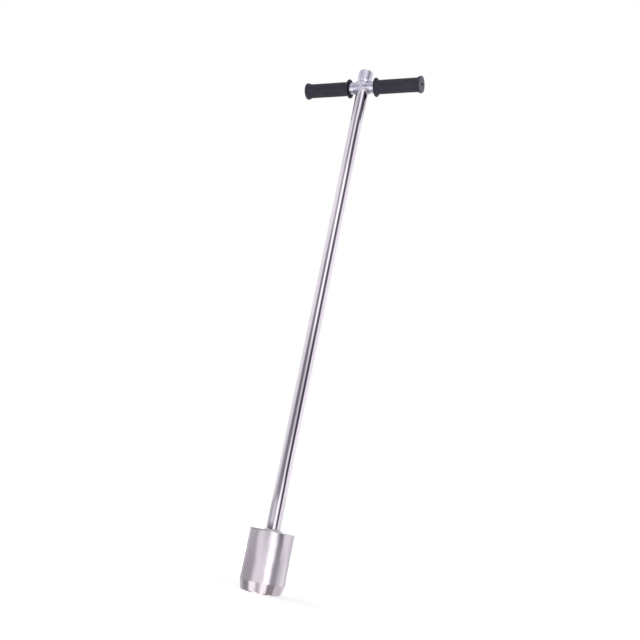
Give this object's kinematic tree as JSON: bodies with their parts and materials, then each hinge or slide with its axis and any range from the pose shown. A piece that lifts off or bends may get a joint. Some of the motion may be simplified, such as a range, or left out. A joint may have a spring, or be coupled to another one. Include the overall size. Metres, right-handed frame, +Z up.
{
  "type": "soil sampler",
  "caption": "T-handled steel soil sampler: a polished rod with rubber grips and a strike head drives a tapered barrel that holds a loose sample ring under a lift-off cap.",
  "frame": {"origin": "on the rod's axis, at the barrel's cutting edge, where the sampler stands on the ground", "axes": "+Z up the rod towards the strike head, +X along the crossbar towards the right grip, -Y towards the viewer of the front"},
  "size_m": [0.2544, 0.08, 1.04],
  "materials": {
    "satin_steel": "satin turned",
    "ring_steel": "bright turned",
    "polished_steel": "mirror polished",
    "rough_steel": "pickled and mottled",
    "weld_metal": "rippled weld bead",
    "grip_rubber": "matt moulded"
  },
  "bodies": {
    "barrel": {"sampler_barrel": "satin_steel"},
    "ring": {"sample_ring": "ring_steel"},
    "spacer": {"spacer_ring": "ring_steel"},
    "handle": {"cap_disc": "satin_steel", "cap_weld": "weld_metal", "drive_rod": "polished_steel", "crossbar": "rough_steel", "crossbar_weld": "weld_metal", "strike_head": "rough_steel", "strike_head_weld": "weld_metal", "right_grip": "grip_rubber", "left_grip": "grip_rubber"}
  },
  "joints": [
    {"name": "handle_lift", "type": "slide", "parent": "barrel", "child": "handle", "axis": [0, 0, 1], "range_m": [0, 0.2]},
    {"name": "spacer_lift", "type": "slide", "parent": "barrel", "child": "spacer", "axis": [0, 0, 1], "range_m": [0, 0.16]},
    {"name": "ring_lift", "type": "slide", "parent": "barrel", "child": "ring", "axis": [0, 0, 1], "range_m": [0, 0.12]}
  ],
  "couplings": [
    {"joint": "spacer_lift", "follows": "handle_lift", "ratio": 0.8},
    {"joint": "ring_lift", "follows": "handle_lift", "ratio": 0.6}
  ]
}
